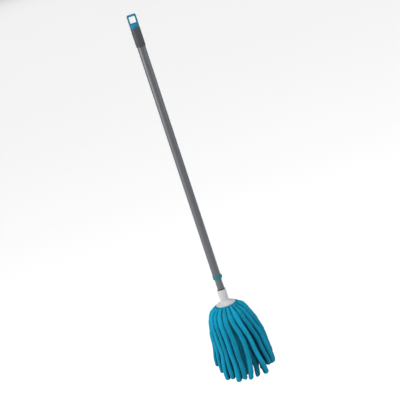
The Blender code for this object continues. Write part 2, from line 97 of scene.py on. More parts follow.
# How far the skirt hangs to the right: overall, less at its shoulder, and more half way down
LEAN = 0.0012
SHOULDER_LEAN = -0.0018
MIDDLE_LEAN = 0.0034
DRIFT_SEED = 4  # which wander the strands take
DRIFT_SCALE = 19
PATH_STEPS = 4  # points between two knots of a strand's route
SHOULDER_RUN = 0.05  # the length of a strand that counts as its shoulder
LAYER_SEEDS = {"outer": 0, "inner": 40, "core": 70}
STRAND_WIDTHS = (0.95, 1.05, 0.99, 1.08, 0.92, 1.02, 0.97)  # against the usual width
STRAND_SLANTS = (8.0, 10.0, 7.0, 9.0, 11.0)  # rows of loops gained in one turn round a strand
STRAND_TONES = (0.45, 0.9, 0.2, 0.65, 0.0, 1.0, 0.35, 0.75)  # 0 is the darkest dye, 1 the lightest
INNER_PAINTED_SHADE = -0.6  # the inner layers, darkened as painted shade from the outer one
ROUTES = {
    "outer": (
        (0.0276, 0.0046), (0.031, 0.0050), (0.0356, 0.0082), (0.0418, 0.0136),
        (0.0470, 0.0225), (0.0510, 0.034), (0.0552, 0.048), (0.0616, 0.077),
        (0.0652, 0.100), (0.0682, 0.126), (0.0695, 0.150), (0.0672, USUAL_DROP),
    ),
    "inner": (
        (0.0206, 0.0134), (0.026, 0.0136), (0.0308, 0.0192), (0.0352, 0.030),
        (0.0400, 0.047), (0.0451, 0.070), (0.0487, 0.095), (0.0515, 0.122),
        (0.0523, 0.150), (0.0505, USUAL_DROP),
    ),
    "core": (
        (0.0151, 0.0222), (0.020, 0.0224), (0.0236, 0.031), (0.026, 0.043),
        (0.0285, 0.058), (0.0315, 0.080), (0.034, 0.105), (0.0355, 0.130),
        (0.035, 0.155), (0.033, USUAL_DROP),
    ),
}
# Each strand: its direction at the band, half-way down and at its tip, in degrees from the front towards
# the right, then its drop and how far its tip swings out
STRANDS = {
    "outer": (
        (0, 9, -1, 0.202, 0),
        (17, 26, 41, 0.206, -0.001),
        (34, 43, 54, 0.188, 0),
        (51, 60, 69, 0.190, 0.002),
        (69, 78, 84, 0.194, 0.004),
        (86, 95, 99, 0.186, 0.003),
        (103, 112, 114, 0.197, 0),
        (120, 129, 131, 0.191, 0.002),
        (137, 146, 147, 0.199, -0.002),
        (154, 163, 163, 0.188, 0.001),
        (171, 180, 181, 0.196, 0),
        (189, 200, 202, 0.190, 0.003),
        (206, 217, 219, 0.198, -0.001),
        (223, 234, 235, 0.193, 0),
        (240, 251, 250, 0.186, 0.002),
        (257, 268, 266, 0.162, 0.008),
        (274, 285, 282, 0.176, 0.001),
        (291, 302, 300, 0.195, -0.001),
        (309, 316, 320, 0.190, 0.001),
        (326, 332, 333, 0.201, -0.001),
        (343, 345.5, 346, 0.199, 0),
    ),
    "inner": (
        (-4, -3, -5, 0.192, 0),
        (20, 19, 24, 0.208, -0.001),
        (44, 43, 46, 0.196, 0.001),
        (68, 69, 66, 0.188, 0),
        (92, 90, 94, 0.198, -0.002),
        (116, 118, 114, 0.190, 0.001),
        (140, 139, 143, 0.202, 0),
        (164, 166, 161, 0.187, -0.001),
        (188, 186, 190, 0.195, 0.002),
        (212, 214, 210, 0.203, 0),
        (236, 234, 239, 0.189, -0.001),
        (260, 262, 254.5, 0.197, 0),
        (284, 282, 287, 0.186, 0.001),
        (308, 309, 306, 0.197, 0),
        (332, 330, 334, 0.200, -0.002),
    ),
    "core": (
        (40, 38, 45, 0.190, 0),
        (130, 128, 135, 0.198, 0.001),
        (222, 224, 218, 0.188, -0.001),
        (312, 310, 317, 0.195, 0),
    ),
}


# ---------------------------------------------------------------- settings


def length_in_metres(name, description, default, **limits):
    return bpy.props.FloatProperty(
        name=name, description=description, default=default, unit="LENGTH", subtype="DISTANCE", **limits
    )


def colour_of(name, description, default):
    return bpy.props.FloatVectorProperty(
        name=name, description=description, default=default, subtype="COLOR", min=0, max=1
    )


def lamp_power(name, description, default):
    return bpy.props.FloatProperty(
        name=name, description=description, default=default, unit="POWER", min=0
    )


class MopStrandSettings(bpy.types.PropertyGroup):
    """Sizes of the strands and of their looped pile."""

    radius: length_in_metres(
        "Strand Radius", "Half the width of a strand below its shoulder", 0.0072, min=0.002
    )
    root_share: bpy.props.FloatProperty(
        name="Root Width", description="Width where a strand is sewn in, against its full width",
        default=0.55, min=0.2, max=1.0, subtype="FACTOR",
    )
    rib_pitch: length_in_metres(
        "Rib Pitch", "Distance from one row of loops to the next", 0.0025, min=0.0005
    )
    rib_height: length_in_metres(
        "Rib Height", "How far a row of loops stands above the valley beside it", 0.00065, min=0.0
    )
    drift: length_in_metres(
        "Drift", "How far neighbouring strands wander together from their smooth hang", 0.0042, min=0.0
    )
    sway: length_in_metres("Sway", "How far each strand wanders on its own", 0.0018, min=0.0)
    ring_gap: length_in_metres(
        "Ring Gap", "Distance between the rings of a strand's mesh", 0.00065, min=0.0002
    )
    sides: bpy.props.IntProperty(
        name="Sides", description="Points round a strand", default=26, min=8, max=64,
    )
    # Pile is the lit copy of the dye and Valley is its copy in painted shade.
    colour: colour_of("Pile", "Colour of the loops where they catch the light", (0.006, 0.29, 0.46))
    valley_shade_colour: colour_of("Valley", "Colour down between the rows of loops", (0.001, 0.08, 0.165))


class MopHandleSettings(bpy.types.PropertyGroup):
    """Sizes and colours of the loop, grip, tubes and twist lock."""

    loop_width: length_in_metres("Loop Width", "Width of the hanging loop", 0.025)
    loop_depth: length_in_metres("Loop Depth", "Thickness of the hanging loop's flat frame", 0.009)
    edge: length_in_metres("Edge Radius", "Rounding of the moulded edges", 0.0006)
    sides: bpy.props.IntProperty(
        name="Sides", description="Facets round a turned piece", default=96, min=24, max=256,
    )
    loop_colour: colour_of("Loop", "Plastic of the loop", (0.002, 0.16, 0.27))
    lock_colour: colour_of("Lock", "Plastic of the twist collar", (0.006, 0.20, 0.24))
    grip_colour: colour_of("Grip", "Plastic of the grip sleeve", (0.060, 0.063, 0.070))
    plug_colour: colour_of("Plugs", "Plastic of the plugs and the collet", (0.030, 0.032, 0.036))
    tube_colour: colour_of("Tube", "Coating of the steel tubes", (0.160, 0.167, 0.182))


class MopHeadSettings(bpy.types.PropertyGroup):
    """Sizes and colours of the socket, the bands and the screws."""

    flange_radius: length_in_metres("Flange Radius", "Radius of the socket's flange", 0.0267)
    rib_count: bpy.props.IntProperty(
        name="Ribs", description="Ribs round the socket's waist", default=4, min=0, max=12,
    )
    gather_depth: length_in_metres(
        "Gather Depth", "Depth of the folds between one strand and the next", 0.0009
    )
    stitch_count: bpy.props.IntProperty(
        name="Stitches", description="Stitches round the outer band", default=66, min=8, max=400,
    )
    socket_colour: colour_of("Socket", "Plastic of the socket and the plate", (0.56, 0.57, 0.585))
    band_colour: colour_of("Bands", "Woven tape of the bands", (0.004, 0.26, 0.39))


class MopStageSettings(bpy.types.PropertyGroup):
    """The camera, the floor and the lights."""

    elevation: bpy.props.FloatProperty(
        name="Elevation", description="How far the camera looks down", default=math.radians(15),
        unit="ROTATION", subtype="ANGLE",
    )
    roll: bpy.props.FloatProperty(
        name="Roll", description="How far the handle leans to the left in the view",
        default=math.radians(18.2), unit="ROTATION", subtype="ANGLE",
    )
    lens: bpy.props.FloatProperty(
        name="Lens", description="Focal length, in millimetres", default=200, min=20, max=600,
    )
    view_width: length_in_metres("View Width", "Width of what the camera sees at the handle", 1.0572)
    aim_height: length_in_metres("Aim Height", "Height on the handle that the camera aims beside", -0.5167)
    aim_right: length_in_metres("Aim Right", "How far to the right of the handle the camera aims", 0.0217)
    floor_drop: length_in_metres("Floor Drop", "Distance from the lowest strand down to the floor", 0.6)
    floor_colour: colour_of("Floor", "Colour of the floor", (0.92, 0.92, 0.92))
    sky_strength: bpy.props.FloatProperty(
        name="Sky", description="Strength of the even light from all round", default=0.27, min=0, max=5,
    )
    key_power: lamp_power("Key Light", "Power of the tall light at the left", 62)
    front_power: lamp_power("Front Light", "Power of the large light high above the front", 72)
    fill_power: lamp_power("Fill Light", "Power of the large light at the right", 20)
    wash_power: lamp_power("Floor Wash", "Power of the light that whitens the floor behind", 125)


# ---------------------------------------------------------------- node graphs


class Wire:
    """A node's output that takes part in arithmetic, each operator adding its Math node."""

    def __init__(self, graph, socket):
        self.graph = graph
        self.socket = socket

    def maths(self, operation, *values, clamp=False):
        settings = {"operation": operation, "use_clamp": clamp}
        return self.graph.node("ShaderNodeMath", settings, dict(enumerate(values)))

    def __add__(self, other):
        return self.maths("ADD", self, other)

    def __sub__(self, other):
        return self.maths("SUBTRACT", self, other)

    def __rsub__(self, other):
        return self.maths("SUBTRACT", other, self)

    def __mul__(self, other):
        return self.maths("MULTIPLY", self, other)

    def __truediv__(self, other):
        return self.maths("DIVIDE", self, other)

    def __pow__(self, other):
        return self.maths("POWER", self, other)

    __radd__ = __add__
    __rmul__ = __mul__

    def cosine(self):
        return self.maths("COSINE", self)

    def absolute(self):
        return self.maths("ABSOLUTE", self)

    def root(self):
        return self.maths("SQRT", self)

    def clamped(self):
        return self.maths("ADD", self, 0.0, clamp=True)

    def smooth(self, low, high):
        """0 below low and 1 above high, with a smooth step between."""
        settings = {"interpolation_type": "SMOOTHSTEP"}
        values = {"Value": self, "From Min": low, "From Max": high, "To Min": 0.0, "To Max": 1.0}
        return self.graph.node("ShaderNodeMapRange", settings, values)


class Graph:
    """A node tree whose nodes all come from one method."""

    def __init__(self, tree):
        self.tree = tree

    def node(self, kind, settings=None, values=None, output=0):
        """Adds a node, its settings first, then its sockets' values or links, and gives one output."""
        made = self.tree.nodes.new(kind)
        for name, value in (settings or {}).items():
            setattr(made, name, value)
        for name, value in (values or {}).items():
            self.feed(self.socket(made.inputs, name), value)
        return Wire(self, self.socket(made.outputs, output))

    @staticmethod
    def socket(sockets, name):
        if isinstance(name, int):
            return sockets[name]
        return next(found for found in sockets if found.name == name and found.enabled)

    def feed(self, socket, value):
        if isinstance(value, Wire):
            self.tree.links.new(value.socket, socket)
        elif socket.type == "RGBA":
            socket.default_value = (*value, 1.0)
        else:
            socket.default_value = value

    def noise(self, vector, scale, detail=2.0, rough=0.5, dimensions="3D", seed=None):
        values = {"Vector": vector, "Scale": scale, "Detail": detail, "Roughness": rough}
        if seed is not None:
            values["W"] = seed
        return self.node("ShaderNodeTexNoise", {"noise_dimensions": dimensions}, values)

    def blend(self, factor, first, second):
        """Two colours mixed by a factor."""
        values = {"Factor": factor, "A": first, "B": second}
        return self.node("ShaderNodeMix", {"data_type": "RGBA"}, values, "Result")

    def vector(self, operation, *values, output=0):
        return self.node("ShaderNodeVectorMath", {"operation": operation}, dict(enumerate(values)), output)


class Finish(Graph):
    """A material with one Principled shader."""

    def __init__(self, name, roughness, **constants):
        self.material = bpy.data.materials.new(name)
        self.material.use_nodes = True
        super().__init__(self.material.node_tree)
        self.shader = self.tree.nodes["Principled BSDF"]
        self.shader.inputs["Roughness"].default_value = roughness
        for label, value in constants.items():
            self.feed(self.shader.inputs[label.replace("_", " ")], value)
        self.place = self.node("ShaderNodeTexCoord", output="Object")

    def put(self, label, value):
        self.feed(self.shader.inputs[label], value)

    def stretch(self, scale):
        """Object coordinates scaled apart along the three axes."""
        return self.node("ShaderNodeMapping", {}, {"Vector": self.place, "Scale": scale})

    def attribute(self, name):
        return self.node("ShaderNodeAttribute", {"attribute_name": name}, output="Fac")

    def bump(self, height, distance, strength=1.0):
        values = {"Strength": strength, "Distance": distance, "Height": height}
        self.put("Normal", self.node("ShaderNodeBump", {}, values))


def shade_of(colour, share):
    """A colour made darker or lighter by a share."""
    return tuple(min(part * share, 1.0) for part in colour)


def moulded_plastic(name, colour, roughness, grain=PLASTIC_GRAIN, **constants):
    """Injection-moulded plastic: a fine spark texture, faint flow marks and rubbed patches."""
    finish = Finish(name, roughness, Specular_IOR_Level=0.35, **constants)
    flow = finish.noise(finish.stretch((30.0, 30.0, 9.0)), 1.0, 3.0)
    spark = finish.noise(finish.place, 2600.0, 2.0)
    rubbed = finish.noise(finish.place, 120.0, 5.0, 0.65).smooth(0.52, 0.72)
    mottled = finish.blend(flow, shade_of(colour, 0.86), shade_of(colour, 1.1))
    finish.put("Base Color", finish.blend(rubbed * 0.25, mottled, shade_of(colour, 1.35)))
    finish.put("Roughness", roughness + 0.08 * rubbed + 0.06 * (flow - 0.5))
    finish.bump(spark, grain)
    return finish.material


def coated_steel(name, colour):
    """Powder-coated tube: orange peel, metal flecks and long scuffs from hands and hooks."""
    finish = Finish(name, 0.34, Metallic=0.55)
    peel = finish.noise(finish.place, 900.0, 2.0)
    fleck = finish.noise(finish.place, 5200.0, 1.0).smooth(0.62, 0.74)
    scuff = finish.noise(finish.stretch((900.0, 900.0, 14.0)), 1.0, 4.0, 0.6).smooth(0.66, 0.80)
    cloud = finish.noise(finish.stretch((40.0, 40.0, 7.0)), 1.0, 2.0)
    coat = finish.blend(cloud, shade_of(colour, 0.90), shade_of(colour, 1.10))
    coat = finish.blend(fleck * 0.35, coat, shade_of(colour, 1.9))
    finish.put("Base Color", finish.blend(scuff * 0.4, coat, shade_of(colour, 1.6)))
    finish.put("Roughness", 0.34 + 0.10 * peel - 0.10 * scuff)
    finish.bump(peel - 0.4 * scuff, 0.00006)
    return finish.material


def plated_steel(name):
    """Zinc-plated screw: faint brushing and dull spots."""
    finish = Finish(name, 0.3, Metallic=1.0)
    dull = finish.noise(finish.place, 700.0, 4.0, 0.6).smooth(0.45, 0.7)
    brushed = finish.noise(finish.stretch((300.0, 4000.0, 300.0)), 1.0, 2.0)
    finish.put("Base Color", finish.blend(dull, (0.62, 0.63, 0.65), (0.42, 0.42, 0.41)))
    finish.put("Roughness", 0.26 + 0.25 * dull)
    finish.bump(brushed, 0.00003)
    return finish.material


def looped_pile(name, colour, valley_shade_colour):
    """Microfibre pile: rows of loops with painted shade in their valleys and in the gaps between strands, a
    painted highlight on each strand's shoulder and painted shade on the inner layers; tufted and a little
    uneven in colour.
    """
    finish = Finish(name, 0.92, Sheen_Weight=0.28, Sheen_Roughness=0.35, Sheen_Tint=(0.3, 0.85, 1.0))
    finish.put("Specular IOR Level", 0.08)
    ridge = finish.attribute("ridge")
    tuft = finish.noise(finish.place, 1500.0, 3.0, 0.7)
    dye = finish.noise(finish.place, 55.0, 3.0)
    # Random dye, each outer strand's tone, painted shade on the inner layers, and a lighter seam.
    tone = (dye * 0.55 + finish.attribute("tone") * 0.45 + finish.attribute("seam") * 0.3).clamped()
    lit = finish.blend(tone, shade_of(colour, 0.6), shade_of(colour, 1.3))
    lit = finish.blend(tuft.smooth(0.55, 0.75) * 0.45, lit, shade_of(colour, 1.6))
    # Painted highlight: the top of each strand, where the bend mask is 1, is lighter.
    lit = finish.blend(finish.attribute("bend") * 0.35, lit, shade_of(colour, 1.5))
    # Painted shade: the valleys between rows of loops and between tufts take the darker valley colour.
    depth = (ridge * 0.75 + tuft * 0.55).smooth(0.05, 0.8)
    pile = finish.blend(depth, valley_shade_colour, lit)
    # Painted shade between strands: where the mask is 0, the pile takes a much darker copy of the valley
    # colour.
    painted_gap_shade = shade_of(valley_shade_colour, 0.35)
    finish.put("Base Color", finish.blend(finish.attribute("crest"), painted_gap_shade, pile))
    finish.put("Roughness", 0.95 - 0.12 * tuft)
    finish.bump(tuft, 0.0007, 0.8)
    return finish.material


def woven_tape(name, colour):
    """Close-woven tape: warp and weft threads over and under, softened by lint."""
    finish = Finish(name, 0.9, Specular_IOR_Level=0.05)
    around = finish.attribute("turn") * 1500.0
    across = finish.attribute("run") * 9000.0
    warp = around.cosine().absolute()
    weft = across.cosine().absolute()
    weave = warp * weft
    lint = finish.noise(finish.place, 800.0, 4.0, 0.7)
    cloth = finish.blend(weave, shade_of(colour, 0.7), shade_of(colour, 1.2))
    finish.put("Base Color", finish.blend(lint.smooth(0.55, 0.8) * 0.4, cloth, shade_of(colour, 1.5)))
    finish.put("Roughness", 0.9 - 0.15 * weave)
    finish.bump(weave + 0.6 * lint, 0.00025)
    return finish.material


def finish_for(slot):
    """A slot's material, made the first time it is asked for."""
    scene = bpy.context.scene
    handle, head, strands = scene.mop_handle, scene.mop_head, scene.mop_strands
    milky = {"Subsurface_Weight": 0.08, "Subsurface_Scale": 0.004}
    finishes = {
        "loop_teal": ("teal_loop_plastic", moulded_plastic, (handle.loop_colour, 0.34)),
        "lock_teal": ("teal_lock_plastic", moulded_plastic, (handle.lock_colour, 0.38)),
        "grip_grey": ("grey_grip_plastic", moulded_plastic, (handle.grip_colour, 0.42, GRIP_GRAIN)),
        "dark_plastic": ("dark_plug_plastic", moulded_plastic, (handle.plug_colour, 0.45)),
        "socket_white": ("white_socket_plastic", moulded_plastic, (head.socket_colour, 0.36), milky),
        "tube_paint": ("grey_coated_steel", coated_steel, (handle.tube_colour,)),
        "screw_steel": ("zinc_plated_steel", plated_steel, ()),
        "band_fabric": ("teal_woven_tape", woven_tape, (head.band_colour,)),
        "strand_fabric": ("teal_looped_pile", looped_pile, (strands.colour, strands.valley_shade_colour)),
    }
    name, maker, values, *constants = finishes[slot]
    made = bpy.data.materials.get(name)
    return made or maker(name, *values, **(constants[0] if constants else {}))


# ---------------------------------------------------------------- shapes


def around(radius, degrees, height=0.0):
    """A point round the axis, its angle counted from the front towards the right."""
    angle = math.radians(degrees)
    return Vector((radius * math.sin(angle), -radius * math.cos(angle), height))


def smooth_step(share):
    share = min(max(share, 0.0), 1.0)
    return share * share * (3 - 2 * share)


def added(name, data):
    """A new object in the scene that holds this data."""
    obj = bpy.data.objects.new(name, data)
    bpy.context.scene.collection.objects.link(obj)
    return obj


def object_from(builder, name):
    """A closed mesh object from a bmesh, its faces turned outwards."""
    bmesh.ops.recalc_face_normals(builder, faces=builder.faces)
    mesh = bpy.data.meshes.new(name)
    builder.to_mesh(mesh)
    builder.free()
    return added(name, mesh)


def softened(profile, radius, steps=4):
    """The profile with each corner between two longer runs rounded."""
    points = [Vector(profile[0])]
    for before, corner, after in zip(profile, profile[1:], profile[2:]):
        before, corner, after = Vector(before), Vector(corner), Vector(after)
        back = before - corner
        ahead = after - corner
        cut = min(radius, back.length * 0.45, ahead.length * 0.45)
        start = corner + back.normalized() * cut
        end = corner + ahead.normalized() * cut
        for step in range(steps + 1):
            t = step / steps
            points.append(start.lerp(corner, t).lerp(corner.lerp(end, t), t))
    return [*points, Vector(profile[-1])]


def turned(name, profile, closed=False, sides=None, flute=None):
    """A profile of radii and heights turned about the axis. A flute gives a change of radius at an angle."""
    sides = sides or bpy.context.scene.mop_handle.sides
    builder = bmesh.new()
    rings = []
    for radius, height in profile:
        if radius < 1e-7:
            rings.append([builder.verts.new((0, 0, height))])
            continue
        ring = []
        for step in range(sides):
            turn = 2 * math.pi * step / sides
            reach = radius + (flute(radius, height, turn) if flute else 0.0)
            ring.append(builder.verts.new((reach * math.sin(turn), -reach * math.cos(turn), height)))
        rings.append(ring)
    pairs = list(zip(rings, rings[1:]))
    if closed:
        pairs.append((rings[-1], rings[0]))
    for upper, lower in pairs:
        for step in range(sides):
            corners = []
            following = (step + 1) % sides
            for ring, index in ((upper, step), (upper, following), (lower, following), (lower, step)):
                vert = ring[index % len(ring)]
                if vert not in corners:
                    corners.append(vert)
            if len(corners) > 2:
                builder.faces.new(corners)
    return object_from(builder, name)


def block(size, centre):
    """A box in a new bmesh."""
    builder = bmesh.new()
    bmesh.ops.create_cube(builder, size=1)
    bmesh.ops.scale(builder, vec=size, verts=builder.verts)
    bmesh.ops.translate(builder, vec=centre, verts=builder.verts)
    return builder


def bevel(builder, edges, rounding):
    bmesh.ops.bevel(builder, geom=edges, offset=rounding, segments=4, profile=0.5, affect="EDGES")


def rounded_block(name, size, centre, rounding):
    builder = block(size, centre)
    bevel(builder, builder.edges[:], rounding)
    return object_from(builder, name)


def evaluated_mesh(obj):
    graph = bpy.context.evaluated_depsgraph_get()
    return bpy.data.meshes.new_from_object(
        obj.evaluated_get(graph), preserve_all_data_layers=True, depsgraph=graph
    )


def combine(obj, other, operation):
    """Joins or cuts obj with other, which is used up."""
    boolean = obj.modifiers.new(operation, "BOOLEAN")
    boolean.operation = operation
    boolean.solver = "EXACT"
    boolean.object = other
    bpy.context.view_layer.update()
    mesh = evaluated_mesh(obj)
    obj.modifiers.remove(boolean)
    obj.data = mesh
    bpy.data.objects.remove(other, do_unlink=True)


def finish_piece(obj, body, slot, *nodes, crease=32):
    """Gives a piece its finish, its body and the frame's nodes that it stands for."""
    obj.data.materials.clear()
    obj.data.materials.append(finish_for(slot))
    obj.data.shade_smooth()
    if crease:
        obj.data.set_sharp_from_angle(angle=math.radians(crease))
    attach(obj, body)
    if nodes:
        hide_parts(*nodes)


def repaint(node, slot):
    """A frame node that keeps its shape gets its real finish."""
    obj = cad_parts[node]
    material = finish_for(slot)
    for place in obj.material_slots:
        place.material = material


def node_tree(name, inputs):
    """A geometry tree with named inputs, and its graph."""
    tree = bpy.data.node_groups.new(name, "GeometryNodeTree")
    tree.interface.new_socket("Geometry", in_out="INPUT", socket_type="NodeSocketGeometry")
    tree.interface.new_socket("Geometry", in_out="OUTPUT", socket_type="NodeSocketGeometry")
    for label, kind in inputs.items():
        tree.interface.new_socket(label, in_out="INPUT", socket_type=f"NodeSocket{kind}")
    graph = Graph(tree)
    entry = tree.nodes.new("NodeGroupInput")
    wires = {socket.name: Wire(graph, socket) for socket in entry.outputs if socket.name}
    return graph, wires


def end_tree(graph, geometry, material):
    realised = graph.node("GeometryNodeRealizeInstances", {}, {"Geometry": geometry})
    painted = graph.node("GeometryNodeSetMaterial", {}, {"Geometry": realised, "Material": material})
    leave = graph.tree.nodes.new("NodeGroupOutput")
    graph.tree.links.new(painted.socket, leave.inputs[0])
    return graph.tree


def grown(name, source, tree, values):
    """The mesh that a tree makes from a source object, as a new plain object. The source is used up."""
    modifier = source.modifiers.new(tree.name, "NODES")
    modifier.node_group = tree
    for item in tree.interface.items_tree:
        if item.in_out == "INPUT" and item.name in values:
            modifier[item.identifier] = values[item.name]
    bpy.context.view_layer.update()
    mesh = evaluated_mesh(source)
    mesh.name = name
    bpy.data.objects.remove(source, do_unlink=True)
    return added(name, mesh)


def bare_mesh(name):
    """An empty mesh object that a tree grows from."""
    return added(name, bpy.data.meshes.new(name))


def store(graph, geometry, name, value):
    settings = {"data_type": "FLOAT", "domain": "POINT"}
    values = {"Geometry": geometry, "Name": name, "Value": value}
    return graph.node("GeometryNodeStoreNamedAttribute", settings, values)


def named(graph, name):
    settings = {"data_type": "FLOAT"}
    return graph.node("GeometryNodeInputNamedAttribute", settings, {"Name": name}, "Attribute")


# ---------------------------------------------------------------- strands


def strand_knots(route, strand):
    """The points that a strand's curve passes through."""
    root, middle, tip, drop, swing = strand
    knots = []
    for radius, depth in route:
        low = max(depth - TWIST_DEPTH, 0) / (USUAL_DROP - TWIST_DEPTH)
        angle = root + (middle - root) * smooth_step(depth / TWIST_DEPTH) + (tip - middle) * low * low
        stretch = (drop - SHOULDER_DEPTH) / (USUAL_DROP - SHOULDER_DEPTH)
        fall = min(depth, SHOULDER_DEPTH) + max(depth - SHOULDER_DEPTH, 0) * stretch
        knots.append(around(radius + swing * low * low, angle, HEAD_BASE - fall))
    return knots


def smooth_curve(knots, steps):
    """A Catmull-Rom curve through the knots."""
    ends = [2 * knots[0] - knots[1], *knots, 2 * knots[-1] - knots[-2]]
    points = []
    for before, start, end, after in zip(ends, ends[1:], ends[2:], ends[3:]):
        for step in range(steps):
            t = step / steps
            bend = 2 * before - 5 * start + 4 * end - after
            twist = 3 * start - before - 3 * end + after
            points.append(start + 0.5 * t * (end - before + t * (bend + t * twist)))
    return [*points, knots[-1]]


def length_of(points):
    return sum((end - start).length for start, end in zip(points, points[1:]))


def lean_at(share):
    """How far the skirt hangs to the right, at a share of a strand's length."""
    shoulder = math.sin(math.pi * min(share / 0.35, 1))
    middle = math.sin(math.pi * max(share - 0.25, 0) / 0.75)
    return LEAN * smooth_step(share * 2.2) + SHOULDER_LEAN * shoulder + MIDDLE_LEAN * middle


def swayed(points, drift, sway, seed):
    """The path with two wanders that grow from nothing at its root, one shared with its neighbours."""
    noise.seed_set(DRIFT_SEED)
    total = length_of(points)
    gone = 0.0
    moved = []
    for index, point in enumerate(points):
        if index:
            gone += (point - points[index - 1]).length
        share = gone / total
        shared = noise.noise_vector(point * DRIFT_SCALE)
        alone = noise.noise_vector(Vector((share * 4.2, seed * 7.3, 0.5)))
        wander = (shared * drift + alone * sway) * smooth_step(share * 2.2)
        moved.append(point + wander + Vector((lean_at(share), 0, 0)))
    return moved


def gap_shade_mask_of(graph, place, away, run):
    """Mask of painted shade: 1 where the pile faces out of the skirt, tilted upwards near the root, and 0
    where strands face each other and get painted shade.
    """
    out = graph.vector("NORMALIZE", graph.vector("MULTIPLY", place, (1, 1, 0)))
    lift = graph.node("ShaderNodeCombineXYZ", {}, {"Z": 0.15 + 1.4 * (1.0 - run.smooth(0.0, SHOULDER_RUN))})
    facing = graph.vector("NORMALIZE", graph.vector("ADD", out, lift))
    return graph.vector("DOT_PRODUCT", facing, away, output="Value").smooth(-0.1, 0.85)


def strand_tree(material):
    """A curve becomes a strand: narrow at its root, round at its tip, with rows of loops across it."""
    inputs = {
        "Radius": "Float", "Root Share": "Float", "Length": "Float", "Rib Pitch": "Float",
        "Rib Height": "Float", "Ring Gap": "Float", "Sides": "Int", "Slant": "Float", "Seed": "Float",
        "Tone And Shade": "Float",
    }
    graph, given = node_tree("Looped Strand", inputs)
    values = {"Curve": given["Geometry"], "Length": given["Ring Gap"]}
    rings = graph.node("GeometryNodeResampleCurve", {"mode": "LENGTH"}, values)
    run = graph.node("GeometryNodeSplineParameter", output="Length")
    rings = store(graph, rings, "run", run)
    left = (given["Length"] - run) / given["Radius"]
    rounding = (1.0016 - (1.0 - left).clamped() ** 2.0).root()
    share = run / given["Length"]
    taper = given["Root Share"] + (1.0 - given["Root Share"]) * share.smooth(0.0, 0.17)
    width = given["Radius"] * taper * rounding
    values = {"Resolution": given["Sides"], "Radius": 1.0}
    circle = graph.node("GeometryNodeCurvePrimitiveCircle", {"mode": "RADIUS"}, values)
    circle = store(graph, circle, "turn", graph.node("GeometryNodeSplineParameter", output="Factor"))
    values = {"Curve": rings, "Profile Curve": circle, "Scale": width, "Fill Caps": True}
    skin = graph.node("GeometryNodeCurveToMesh", {}, values)
    place = graph.node("GeometryNodeInputPosition")
    run, turn = named(graph, "run"), named(graph, "turn")
    uneven = graph.noise(place, 230.0, 3.0, 0.6, "4D", given["Seed"])
    phase = math.pi * (run / given["Rib Pitch"] + given["Slant"] * turn + 2.4 * uneven)
    row = phase.cosine().absolute()
    loops = (math.pi * (9.0 * turn + 0.5 * (run / given["Rib Pitch"]))).cosine().absolute()
    ridge = row * (0.62 + 0.38 * loops)
    skin = store(graph, skin, "ridge", ridge)
    # Each outer strand's tone, and painted shade on the inner layers.
    skin = store(graph, skin, "tone", given["Tone And Shade"])
    seam = (2 * math.pi * (turn - given["Seed"])).cosine().smooth(0.955, 1.0)
    skin = store(graph, skin, "seam", seam)
    # The bend mask is 1 near the root and fades out between 18 and 75 mm down; it places a painted highlight
    # on each strand's shoulder.
    skin = store(graph, skin, "bend", 1.0 - run.smooth(0.018, 0.075))
    bulge = graph.noise(place, 46.0, 2.0, 0.55, "4D", given["Seed"]) - 0.5
    oval = (2 * math.pi * (2.0 * turn + 6.0 * run + given["Seed"])).cosine() * 0.12
    height = given["Rib Height"] * (ridge - 0.6) + given["Radius"] * (0.85 * bulge + oval) * taper
    height = height + 0.0007 * seam
    away = graph.node("GeometryNodeInputNormal", output="Normal")
    # The mask for the painted shade between strands.
    skin = store(graph, skin, "crest", gap_shade_mask_of(graph, place, away, run))
    shift = graph.node("ShaderNodeVectorMath", {"operation": "SCALE"}, {0: away, "Scale": height * rounding})
    skin = graph.node("GeometryNodeSetPosition", {}, {"Geometry": skin, "Offset": shift})
    return end_tree(graph, skin, material)


def polyline(curve, points, cyclic=False):
    """Adds a run of straight pieces through the points to a curve."""
    spline = curve.splines.new("POLY")
    spline.points.add(len(points) - 1)
    spline.use_cyclic_u = cyclic
    for slot, point in zip(spline.points, points):
        slot.co = (*point, 1)


def path_object(points):
    data = bpy.data.curves.new("strand_path", "CURVE")
    data.dimensions = "3D"
    polyline(data, points)
    return added("strand_path", data)


def make_strand(layer, index, tree):
    settings = bpy.context.scene.mop_strands
    seed = index + LAYER_SEEDS[layer]
    knots = strand_knots(ROUTES[layer], STRANDS[layer][index])
    path = swayed(smooth_curve(knots, PATH_STEPS), settings.drift, settings.sway, seed)
    width = settings.radius * STRAND_WIDTHS[seed % len(STRAND_WIDTHS)]
    length = length_of(path)
    values = {
        "Radius": width, "Root Share": settings.root_share, "Length": length,
        "Rib Pitch": settings.rib_pitch, "Rib Height": settings.rib_height, "Ring Gap": settings.ring_gap,
        "Sides": settings.sides, "Slant": STRAND_SLANTS[seed % len(STRAND_SLANTS)], "Seed": seed * 1.73,
        # Inner and core strands take a darker value as painted shade.
        "Tone And Shade": STRAND_TONES[seed % len(STRAND_TONES)] if layer == "outer" else INNER_PAINTED_SHADE,
    }
    node = f"{layer}_strand_{index + 1:02d}"
    strand = grown(f"{node}_pile", path_object(path), tree, values)
    finish_piece(strand, "mop_head", "strand_fabric", node, crease=None)


class MOP_OT_strands(bpy.types.Operator):
    """Hang the looped strands of all three layers"""

    bl_idname = "mop.strands"
    bl_label = "Strands"

    def execute(self, context):
        tree = strand_tree(finish_for("strand_fabric"))
        for layer, strands in STRANDS.items():
            for index in range(len(strands)):
                make_strand(layer, index, tree)
        return {"FINISHED"}


# ---------------------------------------------------------------- handle


def rounded_rectangle(half_width, low, high, radius):
    """An outline's points, anticlockwise, each corner an arc."""
    points = []
    corners = (
        (half_width - radius, low + radius, -90),
        (half_width - radius, high - radius, 0),
        (radius - half_width, high - radius, 90),
        (radius - half_width, low + radius, 180),
    )
    for x, z, start in corners:
        for step in range(ARC_STEPS + 1):
            angle = math.radians(start + 90 * step / ARC_STEPS)
            points.append((x + radius * math.cos(angle), z + radius * math.sin(angle), 0))
    return points


